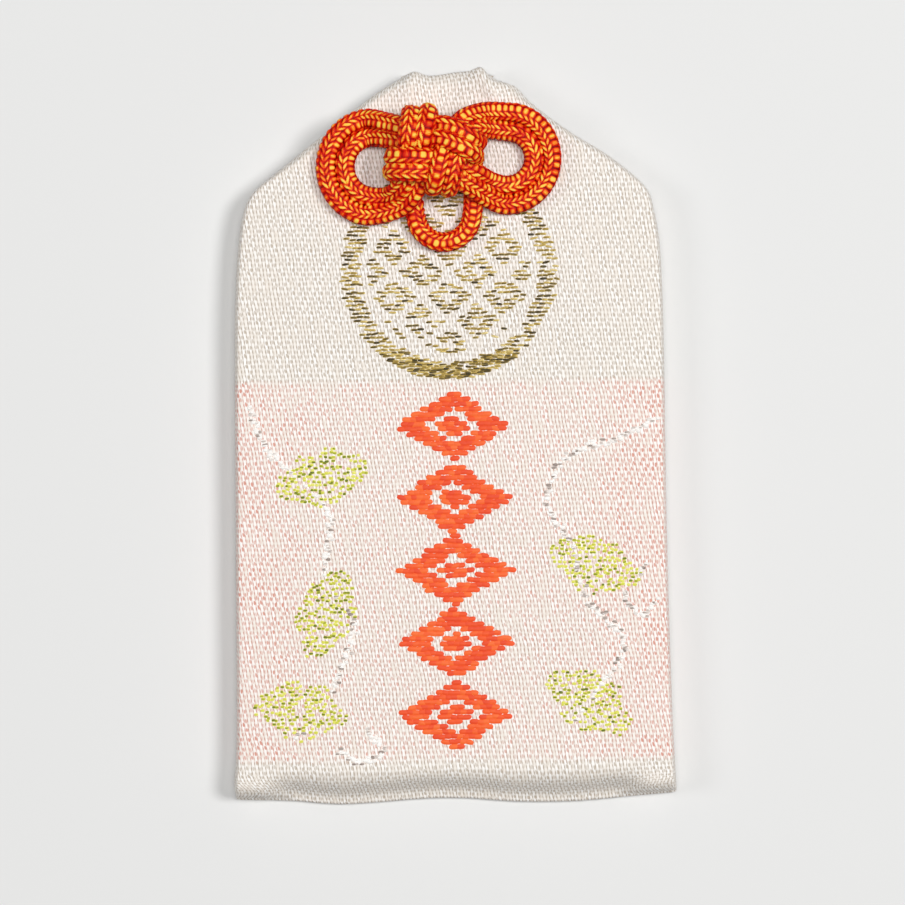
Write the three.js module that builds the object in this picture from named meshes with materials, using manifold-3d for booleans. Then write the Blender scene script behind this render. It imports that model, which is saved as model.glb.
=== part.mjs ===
// An omamori: a flat brocade pouch that holds a board and a paper-wrapped slip, closed by a cord that is tied
// on its front in a double kano knot. Millimetres. The pouch lies on its back: +X is to the right, +Y runs up
// to the mouth and +Z comes out of the front. The origin is at the middle of the back, on the surface below.
import * as THREE from "three";
import { mergeVertices } from "three/addons/utils/BufferGeometryUtils.js";
import Module from "manifold-3d";

// Driving dimensions: the pouch seen from the front
const pouchHeight = 75;
const bottomWidth = 45;
const sideTaper = 1.6;
const shoulderDrop = 13.5;
const shoulderRound = 4;
const neckWidth = 17.6;
const neckDrop = 4;
const mouthWidth = 8.6;

// Driving dimensions: cloth, thread and what lies inside
const clothThickness = 0.45;
const liningThickness = 0.25;
const tuckThickness = 0.5;
const boardThickness = 1;
const paperThickness = 0.2;
const slipThickness = 0.5;
const layerGap = 0.12;
const sideRound = 3.5;
const bottomFold = 4.4;
const mouthLift = 1.8;
const liftLength = 6;
const liningInset = 2;
const seamInset = 1;
const threadDiameter = 0.4;
const insertClearance = 0.4;
const boardTopDrop = 0.7;
const boardChamfer = 6;
const sleeveWidth = 30;
const sleeveInset = 4;
const slipMargin = 1;
const slipPoint = 4;
const tuckInnerEdge = 5.8;
const tuckTip = 0.5;
const awlLength = 16;

// Driving dimensions: the cord, drawn slimmer than the real one so that its passes stay apart
const cordWidth = 1.9;
const cordSolidWidth = 1.2;
const cordPress = 0.72;
const cordSides = 6;
const cordStep = 0.42 * cordWidth;
const holeClearance = 0.3;
const knotClearance = 0.3;
const knotOffset = -1.6;
const knotDrop = 8.3;

// How finely the pieces are cut: rows run along Y and columns across
const outlineSteps = 64;
const panelRowCount = 36;
const frontColumns = 20;
const backColumns = 6;
const liningRowCount = 24;
const liningColumns = 12;
const tuckRowCount = 3;
const tuckColumns = 1;
const leastRow = 0.3;
const awlSides = 16;
const threadSides = 8;
const backRunSteps = 24;
const lengthSamples = 20;

// The layers from the back up, each with its gap to the next
const backTop = clothThickness;
const liningBackTop = backTop + layerGap + liningThickness;
const boardBottom = liningBackTop + layerGap;
const sleeveBottom = boardBottom + boardThickness + layerGap;
const sleeveThickness = 2 * (paperThickness + layerGap) + slipThickness;
const frontInside = sleeveBottom + sleeveThickness + layerGap + liningThickness + layerGap;
const bodyThickness = frontInside + clothThickness;
const mouthThickness = 2 * (clothThickness + liningThickness + 2 * layerGap) + tuckThickness;
const edgeThickness = 2 * clothThickness + layerGap;

const bottomY = -pouchHeight / 2;
const mouthY = pouchHeight / 2;
const shoulderY = mouthY - shoulderDrop;
const liftEndY = shoulderY + liftLength;
const boardBottomY = bottomY + bottomFold + insertClearance;
const boardTopY = shoulderY - boardTopDrop;
const shoulderWidth = bottomWidth - sideTaper;
const shoulder = new THREE.Vector2(shoulderWidth / 2, shoulderY);
const neck = new THREE.Vector2(neckWidth / 2, mouthY - neckDrop);
const knotCentre = new THREE.Vector2(knotOffset, mouthY - knotDrop);

const wasm = await Module();
wasm.setup();

const charm = new THREE.Group();

function finish(color, roughness) {
  return new THREE.MeshStandardMaterial({ color, roughness, metalness: 0 });
}

const brocade = finish(0xf3e9e2, 0.55);
const lining = finish(0xf2f0ea, 0.9);
const thread = finish(0xf4ece6, 0.6);
const board = finish(0xd9d2c2, 0.9);
const paper = finish(0xfaf8f2, 0.85);
const wood = finish(0xd9b98a, 0.7);
const cord = finish(0xd9481a, 0.6);

function addPiece(name, geometry, material) {
  const mesh = new THREE.Mesh(geometry, material);
  mesh.name = name;
  charm.add(mesh);
  return mesh;
}

// Half of the pouch's outline, from the bottom corner up to the mouth: side, round shoulder, slope, neck
function halfOutline() {
  const slope = neck.clone().sub(shoulder).setLength(shoulderRound).add(shoulder);
  const outline = new THREE.Path();
  outline.moveTo(bottomWidth / 2, bottomY);
  outline.lineTo(shoulder.x, shoulder.y - shoulderRound);
  outline.quadraticCurveTo(shoulder.x, shoulder.y, slope.x, slope.y);
  outline.lineTo(neck.x, neck.y);
  outline.lineTo(mouthWidth / 2, mouthY);
  return outline.getSpacedPoints(outlineSteps);
}

const outlinePoints = halfOutline();

function halfWidthAt(y) {
  const next = outlinePoints.findIndex((point) => point.y >= y);
  if (next <= 0) return outlinePoints.at(next).x;
  const low = outlinePoints[next - 1];
  const high = outlinePoints[next];
  return THREE.MathUtils.mapLinear(y, low.y, high.y, low.x, high.x);
}

// How far the cloth has risen from its edge, as a quarter round: 0 at the edge, 1 from one radius inwards
function quarterRound(distance, radius) {
  const reach = THREE.MathUtils.clamp(distance / radius, 0, 1);
  return Math.sqrt(1 - (1 - reach) ** 2);
}

function mouthShare(y) {
  return THREE.MathUtils.clamp((y - shoulderY) / liftLength, 0, 1);
}

// The outer faces of the back and the front: the back lifts off the surface towards the mouth
function backFace(x, y) {
  return mouthLift * mouthShare(y);
}

function frontFace(x, y) {
  const full = THREE.MathUtils.lerp(bodyThickness, mouthThickness, mouthShare(y));
  const side = quarterRound(halfWidthAt(y) - Math.abs(x), sideRound);
  const bottom = quarterRound(y - bottomY, bottomFold);
  return backFace(x, y) + edgeThickness + (full - edgeThickness) * side * bottom;
}

// Rows of a sheet between two heights: each holds its y and its left and right ends. Every sheet has a row
// where the lift starts and one where it ends, so that stacked sheets bend on the same lines.
function sheetRows(low, high, count, left, right) {
  const step = (high - low) / count;
  const even = Array.from({ length: count + 1 }, (unused, row) => low + row * step);
  const bends = [shoulderY, liftEndY].filter((y) => y - low > leastRow && high - y > leastRow);
  const kept = even.filter((y) => bends.every((bend) => Math.abs(bend - y) > leastRow));
  const heights = [...kept, ...bends].sort((a, b) => a - b);
  return heights.map((y) => ({ y, left: left(y), right: right(y) }));
}

// A closed sheet on a grid, between an upper and a lower face; the columns crowd towards its sides
function sheetSolid(rows, columns, upper, lower) {
  const positions = [];
  const triangles = [];
  const layer = rows.length * (columns + 1);
  for (const face of [upper, lower]) {
    for (const { y, left, right } of rows) {
      for (let column = 0; column <= columns; column++) {
        const across = 0.5 + 0.5 * Math.sin(Math.PI * (column / columns - 0.5));
        const x = THREE.MathUtils.lerp(left, right, across);
        positions.push(x, y, face(x, y));
      }
    }
  }
  const quad = (a, b, c, d) => triangles.push(a, b, c, a, c, d);
  const at = (row, column) => row * (columns + 1) + column;
  const last = rows.length - 1;
  for (let row = 0; row < last; row++) {
    for (let column = 0; column < columns; column++) {
      const ring = [at(row, column), at(row, column + 1), at(row + 1, column + 1), at(row + 1, column)];
      quad(...ring);
      quad(...ring.map((index) => index + layer).reverse());
    }
    quad(at(row, 0), at(row + 1, 0), at(row + 1, 0) + layer, at(row, 0) + layer);
    quad(at(row + 1, columns), at(row, columns), at(row, columns) + layer, at(row + 1, columns) + layer);
  }
  for (let column = 0; column < columns; column++) {
    quad(at(0, column + 1), at(0, column), at(0, column) + layer, at(0, column + 1) + layer);
    quad(at(last, column), at(last, column + 1), at(last, column + 1) + layer, at(last, column) + layer);
  }
  const geometry = new THREE.BufferGeometry();
  geometry.setAttribute("position", new THREE.Float32BufferAttribute(positions, 3));
  geometry.setIndex(triangles);
  return geometry;
}

function toSolid(geometry) {
  const bare = new THREE.BufferGeometry();
  bare.setAttribute("position", geometry.getAttribute("position"));
  bare.setIndex(geometry.getIndex());
  const merged = mergeVertices(bare);
  const vertProperties = merged.getAttribute("position").array;
  const triVerts = new Uint32Array(merged.getIndex().array);
  return new wasm.Manifold(new wasm.Mesh({ numProp: 3, vertProperties, triVerts }));
}

function toGeometry(solid) {
  const mesh = solid.getMesh();
  const geometry = new THREE.BufferGeometry();
  geometry.setAttribute("position", new THREE.BufferAttribute(mesh.vertProperties, 3));
  geometry.setIndex(new THREE.BufferAttribute(mesh.triVerts, 1));
  return geometry;
}

// The places where the cord's two tails go through the pouch, from the middle of the knot in cord widths
const leftTail = new THREE.Vector2(-1.21, 1.26);
const rightTail = new THREE.Vector2(0.79, 1.16);
const holes = [leftTail, rightTail].map((tail) => tail.clone().multiplyScalar(cordWidth).add(knotCentre));

function pierce(geometry) {
  const radius = cordSolidWidth / 2 + holeClearance;
  return holes.reduce((solid, hole) => {
    const awl = new THREE.CylinderGeometry(radius, radius, awlLength, awlSides);
    awl.rotateX(Math.PI / 2).translate(hole.x, hole.y, 0);
    return solid.subtract(toSolid(awl));
  }, toSolid(geometry));
}

// The brocade: one strip in the real charm, folded at the bottom edge, here its front and its back
const panelRows = sheetRows(bottomY, mouthY, panelRowCount, (y) => -halfWidthAt(y), halfWidthAt);
const frontInner = (x, y) => frontFace(x, y) - clothThickness;
const frontPanel = sheetSolid(panelRows, frontColumns, frontFace, frontInner);
addPiece("brocade_front", toGeometry(pierce(frontPanel)), brocade);
const backInner = (x, y) => backFace(x, y) + backTop;
const backPanel = sheetSolid(panelRows, backColumns, backInner, backFace);
addPiece("brocade_back", toGeometry(pierce(backPanel)), brocade);

// The linings, fused inside the brocade and cut short of its seams
const liningEdge = (y) => halfWidthAt(y) - liningInset;
const liningBottomY = bottomY + liningInset;
const liningTopY = mouthY - liningInset;
const liningRows = sheetRows(liningBottomY, liningTopY, liningRowCount, (y) => -liningEdge(y), liningEdge);
const liningFrontTop = (x, y) => frontInner(x, y) - layerGap;
const liningFrontBottom = (x, y) => liningFrontTop(x, y) - liningThickness;
const liningFront = sheetSolid(liningRows, liningColumns, liningFrontTop, liningFrontBottom);
addPiece("lining_front", toGeometry(pierce(liningFront)), lining);
const liningBackInner = (x, y) => backFace(x, y) + liningBackTop;
const liningBack = sheetSolid(liningRows, backColumns, liningBackInner, (x, y) => backInner(x, y) + layerGap);
addPiece("lining_back", toGeometry(pierce(liningBack)), lining);

// The top corners of the strip, folded in between the linings along both slopes
const tuckBottom = (x, y) => liningBackInner(x, y) + layerGap;
const tuckTop = (x, y) => tuckBottom(x, y) + tuckThickness;
const tuckOuter = (y) => halfWidthAt(y) - sideRound;
const tuckTipWidth = tuckInnerEdge + tuckTip + sideRound;
const tuckLowY = boardTopY + liningInset;
const tuckTopY = THREE.MathUtils.mapLinear(tuckTipWidth, shoulder.x, neck.x, shoulder.y, neck.y);
for (const [name, left, right] of [
  ["mouth_tuck_left", (y) => -tuckOuter(y), () => -tuckInnerEdge],
  ["mouth_tuck_right", () => tuckInnerEdge, tuckOuter],
]) {
  const rows = sheetRows(tuckLowY, tuckTopY, tuckRowCount, left, right);
  addPiece(name, sheetSolid(rows, tuckColumns, tuckTop, tuckBottom), brocade);
}

// The seams: one thread down each side, where the front and the back are sewn together
function roundSection(diameter, sides) {
  const corners = Array.from({ length: sides }, (unused, side) => {
    const turn = (2 * Math.PI * side) / sides;
    return new THREE.Vector2(Math.cos(turn), Math.sin(turn)).multiplyScalar(diameter / 2);
  });
  return new THREE.Shape(corners);
}

function tube(path, diameter, sides, steps) {
  const section = roundSection(diameter, sides);
  return new THREE.ExtrudeGeometry(section, { extrudePath: path, steps, bevelEnabled: false });
}

const seamHeight = backTop + layerGap + threadDiameter / 2;
for (const [name, side] of [
  ["side_seam_left", -1],
  ["side_seam_right", 1],
]) {
  const ends = [bottomY + bottomFold, shoulderY - shoulderRound].map(
    (y) => new THREE.Vector3(side * (halfWidthAt(y) - seamInset), y, seamHeight),
  );
  addPiece(name, tube(new THREE.LineCurve3(...ends), threadDiameter, threadSides, 1), thread);
}

// A flat outline with its two top corners cut off, as the board and the slip have
function clippedOutline(width, low, high, clip) {
  const outline = new THREE.Shape();
  outline.moveTo(-width / 2, low);
  outline.lineTo(width / 2, low);
  outline.lineTo(width / 2, high - clip);
  outline.lineTo(width / 2 - clip, high);
  outline.lineTo(clip - width / 2, high);
  outline.lineTo(-width / 2, high - clip);
  return outline;
}

function plate(outline, thickness, height) {
  const solid = new THREE.ExtrudeGeometry(outline, { depth: thickness, bevelEnabled: false });
  return solid.translate(0, 0, height);
}

// The board that keeps the pouch flat
const boardWidth = shoulderWidth - 2 * (sideRound + insertClearance);
const boardOutline = clippedOutline(boardWidth, boardBottomY, boardTopY, boardChamfer);
addPiece("insert_board", plate(boardOutline, boardThickness, boardBottom), board);

// The paper folded round the slip, open at its top and bottom
const sleeveTopY = boardTopY - sleeveInset;
const sleeveHeight = sleeveTopY - boardBottomY - sleeveInset;
const sleeveShape = new THREE.Shape();
sleeveShape.moveTo(-sleeveWidth / 2, 0);
sleeveShape.lineTo(sleeveWidth / 2, 0);
sleeveShape.lineTo(sleeveWidth / 2, sleeveThickness);
sleeveShape.lineTo(-sleeveWidth / 2, sleeveThickness);
const sleeveInside = new THREE.Path();
sleeveInside.moveTo(paperThickness - sleeveWidth / 2, paperThickness);
sleeveInside.lineTo(paperThickness - sleeveWidth / 2, sleeveThickness - paperThickness);
sleeveInside.lineTo(sleeveWidth / 2 - paperThickness, sleeveThickness - paperThickness);
sleeveInside.lineTo(sleeveWidth / 2 - paperThickness, paperThickness);
sleeveShape.holes.push(sleeveInside);
const sleeve = new THREE.ExtrudeGeometry(sleeveShape, { depth: sleeveHeight, bevelEnabled: false });
sleeve.rotateX(Math.PI / 2).translate(0, sleeveTopY, sleeveBottom);
addPiece("paper_sleeve", sleeve, paper);

// The slip inside the paper
const slipWidth = sleeveWidth - 2 * (paperThickness + slipMargin);
const slipHighY = sleeveTopY - slipMargin;
const slipLowY = sleeveTopY - sleeveHeight + slipMargin;
const slipOutline = clippedOutline(slipWidth, slipLowY, slipHighY, slipPoint);
addPiece("talisman_slip", plate(slipOutline, slipThickness, sleeveBottom + paperThickness + layerGap), wood);

// The knot's route in cord widths, from the left tail to the right one, about the middle of its woven square.
// Heights are those of round cord lying in four layers; the finished knot is pressed flatter by cordPress.
const [floorLayer, backLayer, underLayer, overLayer] = [0.5, 1.5, 2.5, 3.5];

function loop(x, y, width, height, from, to, count) {
  return Array.from({ length: count }, (unused, step) => {
    const turn = THREE.MathUtils.degToRad(THREE.MathUtils.lerp(from, to, step / (count - 1)));
    return [x + (width / 2) * Math.cos(turn), y + (height / 2) * Math.sin(turn), floorLayer];
  });
}

const leftEar = [-3.32, -0.89];
const rightEar = [3.95, -0.5];
const route = [
  // out of the cloth, over the top edge, down the front and out to the left
  [leftTail.x, leftTail.y, 0],
  [-1.21, 1.3, 0.47],
  [-1.21, 1.4, 1.16],
  [-1.2, 1.52, 2.05],
  [-1.22, 1.36, 3],
  [-1.3, 0.95, overLayer],
  [-1.42, 0.39, overLayer],
  [-1.55, -0.47, underLayer],
  [-1.66, -1.37, underLayer],
  [-1.97, -2.11, 1.74],
  [-2.58, -2.5, 0.79],
  ...loop(...leftEar, 2.95, 3.21, -95, -265, 7),
  // along the top of the square, under then over, and round its right edge
  [-2.42, 0.58, backLayer],
  [-1.53, 0.39, underLayer],
  [-0.63, 0.37, underLayer],
  [0.26, 0.26, 3.16],
  [0.89, 0, overLayer],
  [1.4, -0.28, overLayer],
  [1.8, -0.55, 2.63],
  [1.9, -0.8, 1.74],
  [1.92, -1.32, 0.84],
  [2.05, -2.3, floorLayer],
  ...loop(0.51, -3.42, 3.02, 3.11, 0, -180, 7),
  // behind the left ear, round the left edge and along the bottom of the square
  [-1.11, -2.63, floorLayer],
  [-1.63, -1.89, 0.63],
  [-1.74, -1.48, 1.37],
  [-1.86, -1.34, 2.26],
  [-1.7, -1.3, 3.16],
  [-1.35, -1.34, overLayer],
  [-0.63, -1.37, overLayer],
  [0.11, -1.37, underLayer],
  [1, -1.42, underLayer],
  [1.95, -1.89, 1.89],
  [2.84, -2.53, 0.95],
  ...loop(...rightEar, 4.74, 4.95, -95, 95, 9),
  // under then over, round the bottom edge and up the back
  [2.84, 1.95, 0.74],
  [2, 1.63, 1.68],
  [1.32, 1.11, underLayer],
  [0.68, 0.37, underLayer],
  [0.32, -0.47, overLayer],
  [0.08, -1.32, overLayer],
  [-0.08, -1.72, 2.89],
  [-0.12, -1.8, 1.89],
  [-0.14, -1.55, 0.84],
  [-0.18, -0.63, floorLayer],
  [-0.21, 0.53, floorLayer],
  [-0.24, 1.15, 0.79],
  [-0.23, 1.48, 1.79],
  [-0.24, 1.34, 2.95],
  [-0.35, 0.92, overLayer],
  [-0.45, 0.37, overLayer],
  [-0.58, -0.47, underLayer],
  [-0.74, -1.37, underLayer],
  [-1.11, -2.26, 2],
  [-1.79, -3.05, 1.16],
  ...loop(...leftEar, 5, 5.26, -98, -262, 9),
  // along the top once more, round the right edge and across the back
  [-2.42, 1.45, 1.68],
  [-1.53, 1.26, underLayer],
  [-0.63, 1.26, underLayer],
  [0.26, 1.21, 3.11],
  [1, 0.97, overLayer],
  [1.5, 0.66, overLayer],
  [1.85, 0.4, 2.63],
  [1.86, 0.25, 1.74],
  [1.4, 0.05, backLayer],
  [0.32, -0.11, backLayer],
  [-1.05, -0.26, backLayer],
  [-1.65, -0.39, 1.58],
  [-1.85, -0.42, 2.42],
  [-1.66, -0.42, 3.26],
  [-1.32, -0.42, overLayer],
  [-0.58, -0.45, overLayer],
  [0.32, -0.45, underLayer],
  [1.26, -0.63, underLayer],
  [2.21, -1.16, 1.79],
  [3, -1.68, 0.79],
  ...loop(...rightEar, 2.89, 2.89, -95, 95, 7),
  // under then over, round the bottom edge, up the back and into the cloth
  [3, 1, 0.89],
  [2.32, 0.84, 1.89],
  [1.68, 0.21, underLayer],
  [1.26, -0.53, overLayer],
  [1.03, -1.32, overLayer],
  [0.9, -1.72, 2.89],
  [0.86, -1.8, 1.89],
  [0.85, -1.55, 0.84],
  [0.82, -0.63, floorLayer],
  [0.79, 0.42, 0.58],
  [0.79, 1.05, 0.42],
  [rightTail.x, rightTail.y, 0],
].map((point) => new THREE.Vector3(...point).multiplyScalar(cordWidth));

function evenPoints(points, step) {
  const curve = new THREE.CatmullRomCurve3(points);
  curve.arcLengthDivisions = lengthSamples * points.length;
  return curve.getSpacedPoints(Math.round(curve.getLength() / step));
}

// Pairs of points on passes that are not neighbours along the cord
function* passPairs(points, stepsApart) {
  for (let low = 0; low < points.length; low++) {
    for (let high = low + stepsApart; high < points.length; high++) yield [low, high];
  }
}

// Draws the knot up: passes nearer than one cord push each other aside, and each push spreads along the cord
function drawUp(home, spacing, stepsApart) {
  const rounds = 240;
  const share = 0.22;
  const spread = 0.25;
  const recover = 0.99;
  let pushes = home.map(() => new THREE.Vector3());
  for (let round = 0; round < rounds; round++) {
    const points = home.map((point, index) => point.clone().add(pushes[index]));
    for (const [low, high] of passPairs(points, stepsApart)) {
      const apart = points[high].clone().sub(points[low]);
      const overlap = spacing - apart.length();
      if (overlap <= 0) continue;
      apart.setLength(share * overlap);
      pushes[high].add(apart);
      pushes[low].sub(apart);
    }
    pushes = pushes.map((push, index) => {
      const before = pushes[Math.max(index - 1, 0)];
      const after = pushes[Math.min(index + 1, pushes.length - 1)];
      const middle = before.clone().add(after).multiplyScalar(0.5);
      return push.clone().lerp(middle, spread).multiplyScalar(recover);
    });
    pushes[0].set(0, 0, 0);
    pushes.at(-1).set(0, 0, 0);
  }
  return home.map((point, index) => point.clone().add(pushes[index]));
}

const passSpacing = 1.16 * cordWidth;
const stepsBetweenPasses = Math.ceil((2 * cordWidth) / cordStep);
const drawnRoute = drawUp(evenPoints(route, cordStep), passSpacing, stepsBetweenPasses);

// Least gap of the finished knot to itself, from points along it: the press brings layers nearer
function leastGap(points) {
  const pairs = [...passPairs(points, stepsBetweenPasses)];
  const nearest = Math.min(...pairs.map(([low, high]) => points[low].distanceTo(points[high])));
  return (nearest - cordSolidWidth) * cordPress;
}

console.log("least gap of the knot's cord to itself, mm:", leastGap(drawnRoute).toFixed(2));

const knotSeat = frontFace(knotCentre.x, knotCentre.y) + knotClearance / 2;
const knotTube = tube(new THREE.CatmullRomCurve3(drawnRoute), cordSolidWidth, cordSides, drawnRoute.length);
knotTube.scale(1, 1, cordPress);
addPiece("cord_knot", knotTube, cord).position.set(knotCentre.x, knotCentre.y, knotSeat);

// The rest of the cord: through both holes to the back, where it closes the mouth with one short run
const runHeight = cordSolidWidth / 2 + layerGap;
const turnHeight = runHeight + cordSolidWidth / 2;
const [leftHole, rightHole] = holes;
const leadTop = knotSeat - knotClearance;
const backRun = [
  [leftHole, 0, leadTop],
  [leftHole, 0, mouthLift + clothThickness],
  [leftHole, 0, turnHeight],
  [leftHole, 0.25, runHeight],
  [leftHole, 0.5, runHeight],
  [leftHole, 0.75, runHeight],
  [leftHole, 1, turnHeight],
  [leftHole, 1, mouthLift + clothThickness],
  [leftHole, 1, leadTop],
].map(([from, share, height]) => {
  const place = from.clone().lerp(rightHole, share);
  return new THREE.Vector3(place.x, place.y, height);
});
const backRunTube = tube(new THREE.CatmullRomCurve3(backRun), cordSolidWidth, cordSides, backRunSteps);
addPiece("cord_back_run", backRunTube, cord);

export default charm;
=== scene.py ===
# An omamori charm: a flat brocade pouch with a board and a wrapped slip inside, closed by a braided cord
# that is tied on its front in a double kano knot. Metres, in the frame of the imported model: the pouch lies
# on its back, +X is to the right, +Y runs up to the mouth and +Z comes out of the front.
import math

import bpy
import numpy as np
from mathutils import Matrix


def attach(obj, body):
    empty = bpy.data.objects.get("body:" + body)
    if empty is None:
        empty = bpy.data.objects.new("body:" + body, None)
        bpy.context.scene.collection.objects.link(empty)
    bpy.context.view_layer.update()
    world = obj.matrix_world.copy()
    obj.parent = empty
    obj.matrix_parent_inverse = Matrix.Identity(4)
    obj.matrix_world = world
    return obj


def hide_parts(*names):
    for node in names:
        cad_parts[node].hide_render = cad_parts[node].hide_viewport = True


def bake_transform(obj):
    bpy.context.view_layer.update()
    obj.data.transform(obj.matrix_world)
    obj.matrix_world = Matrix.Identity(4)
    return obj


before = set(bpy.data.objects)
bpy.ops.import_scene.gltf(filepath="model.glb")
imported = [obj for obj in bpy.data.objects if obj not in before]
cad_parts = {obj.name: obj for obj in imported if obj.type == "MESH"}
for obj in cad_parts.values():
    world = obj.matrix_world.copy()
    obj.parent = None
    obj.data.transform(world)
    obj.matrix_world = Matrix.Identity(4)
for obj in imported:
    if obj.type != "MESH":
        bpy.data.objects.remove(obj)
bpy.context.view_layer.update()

# The camera hangs straight above the charm, as over a copy stand. The charm is turned by about half a
# degree in the picture, so the camera is rolled as far the other way.
mm = 0.001
picture_width = 92.6 * mm
view_centre = (0, -1.74 * mm)
cloth_height = 4.1 * mm
camera_distance = 420 * mm
charm_turn = math.radians(0.58)

camera = bpy.data.objects.new("camera", bpy.data.cameras.new("camera"))
camera.data.angle = 2 * math.atan(picture_width / 2 / camera_distance)
camera.location = (*view_centre, cloth_height + camera_distance)
camera.rotation_euler = (0, 0, -charm_turn)
bpy.context.scene.collection.objects.link(camera)
bpy.context.scene.camera = camera

# The knot: one length of round braided cord, tied in a double kano knot with two double ears and one loop
# below, drawn up by hand until its passes press each other flat. Its two tails go through the cloth
# behind it.
cord_width = 1.9 * mm
cord_press = 0.72
cord_step = 0.42 * cord_width
pass_spacing = 0.8 * cord_width
knot_middle = np.array([-1.6 * mm, 29.2 * mm, 4.325 * mm])

# The route in cord widths about the middle of the woven square; round cord lies there in four layers
floor_layer, back_layer, under_layer, over_layer = 0.5, 1.5, 2.5, 3.5
left_tail = (-1.21, 1.26, 0)
right_tail = (0.79, 1.16, 0)
left_ear = (-3.32, -0.89)
right_ear = (3.95, -0.5)


def loop(x, y, width, height, start, stop, count):
    """Points on an ellipse about (x, y), from one angle in degrees to another, on the lowest layer."""
    turn = np.radians(np.linspace(start, stop, count))
    ring = (x + width / 2 * np.cos(turn), y + height / 2 * np.sin(turn), np.full(count, floor_layer))
    return np.stack(ring, axis=1).tolist()


route = [
    # out of the cloth, over the top edge, down the front and out to the left
    left_tail,
    (-1.21, 1.3, 0.47),
    (-1.21, 1.4, 1.16),
    (-1.2, 1.52, 2.05),
    (-1.22, 1.36, 3),
    (-1.3, 0.95, over_layer),
    (-1.42, 0.39, over_layer),
    (-1.55, -0.47, under_layer),
    (-1.66, -1.37, under_layer),
    (-1.97, -2.11, 1.74),
    (-2.58, -2.5, 0.79),
    *loop(*left_ear, 2.95, 3.21, -95, -265, 7),
    # along the top of the square, under then over, and round its right edge
    (-2.42, 0.58, back_layer),
    (-1.53, 0.39, under_layer),
    (-0.63, 0.37, under_layer),
    (0.26, 0.26, 3.16),
    (0.89, 0, over_layer),
    (1.4, -0.28, over_layer),
    (1.8, -0.55, 2.63),
    (1.9, -0.8, 1.74),
    (1.92, -1.32, 0.84),
    (2.05, -2.3, floor_layer),
    *loop(0.51, -3.42, 3.02, 3.11, 0, -180, 7),
    # behind the left ear, round the left edge and along the bottom of the square
    (-1.11, -2.63, floor_layer),
    (-1.63, -1.89, 0.63),
    (-1.74, -1.48, 1.37),
    (-1.86, -1.34, 2.26),
    (-1.7, -1.3, 3.16),
    (-1.35, -1.34, over_layer),
    (-0.63, -1.37, over_layer),
    (0.11, -1.37, under_layer),
    (1, -1.42, under_layer),
    (1.95, -1.89, 1.89),
    (2.84, -2.53, 0.95),
    *loop(*right_ear, 4.74, 4.95, -95, 95, 9),
    # under then over, round the bottom edge and up the back
    (2.84, 1.95, 0.74),
    (2, 1.63, 1.68),
    (1.32, 1.11, under_layer),
    (0.68, 0.37, under_layer),
    (0.32, -0.47, over_layer),
    (0.08, -1.32, over_layer),
    (-0.08, -1.72, 2.89),
    (-0.12, -1.8, 1.89),
    (-0.14, -1.55, 0.84),
    (-0.18, -0.63, floor_layer),
    (-0.21, 0.53, floor_layer),
    (-0.24, 1.15, 0.79),
    (-0.23, 1.48, 1.79),
    (-0.24, 1.34, 2.95),
    (-0.35, 0.92, over_layer),
    (-0.45, 0.37, over_layer),
    (-0.58, -0.47, under_layer),
    (-0.74, -1.37, under_layer),
    (-1.11, -2.26, 2),
    (-1.79, -3.05, 1.16),
    *loop(*left_ear, 5, 5.26, -98, -262, 9),
    # along the top once more, round the right edge and across the back
    (-2.42, 1.45, 1.68),
    (-1.53, 1.26, under_layer),
    (-0.63, 1.26, under_layer),
    (0.26, 1.21, 3.11),
    (1, 0.97, over_layer),
    (1.5, 0.66, over_layer),
    (1.85, 0.4, 2.63),
    (1.86, 0.25, 1.74),
    (1.4, 0.05, back_layer),
    (0.32, -0.11, back_layer),
    (-1.05, -0.26, back_layer),
    (-1.65, -0.39, 1.58),
    (-1.85, -0.42, 2.42),
    (-1.66, -0.42, 3.26),
    (-1.32, -0.42, over_layer),
    (-0.58, -0.45, over_layer),
    (0.32, -0.45, under_layer),
    (1.26, -0.63, under_layer),
    (2.21, -1.16, 1.79),
    (3, -1.68, 0.79),
    *loop(*right_ear, 2.89, 2.89, -95, 95, 7),
    # under then over, round the bottom edge, up the back and into the cloth
    (3, 1, 0.89),
    (2.32, 0.84, 1.89),
    (1.68, 0.21, under_layer),
    (1.26, -0.53, over_layer),
    (1.03, -1.32, over_layer),
    (0.9, -1.72, 2.89),
    (0.86, -1.8, 1.89),
    (0.85, -1.55, 0.84),
    (0.82, -0.63, floor_layer),
    (0.79, 0.42, 0.58),
    (0.79, 1.05, 0.42),
    right_tail,
]


def lengths_along(points):
    """How far along a line each of its points lies."""
    steps = np.linalg.norm(np.diff(points, axis=0), axis=1)
    return np.concatenate([[0], np.cumsum(steps)])


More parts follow.
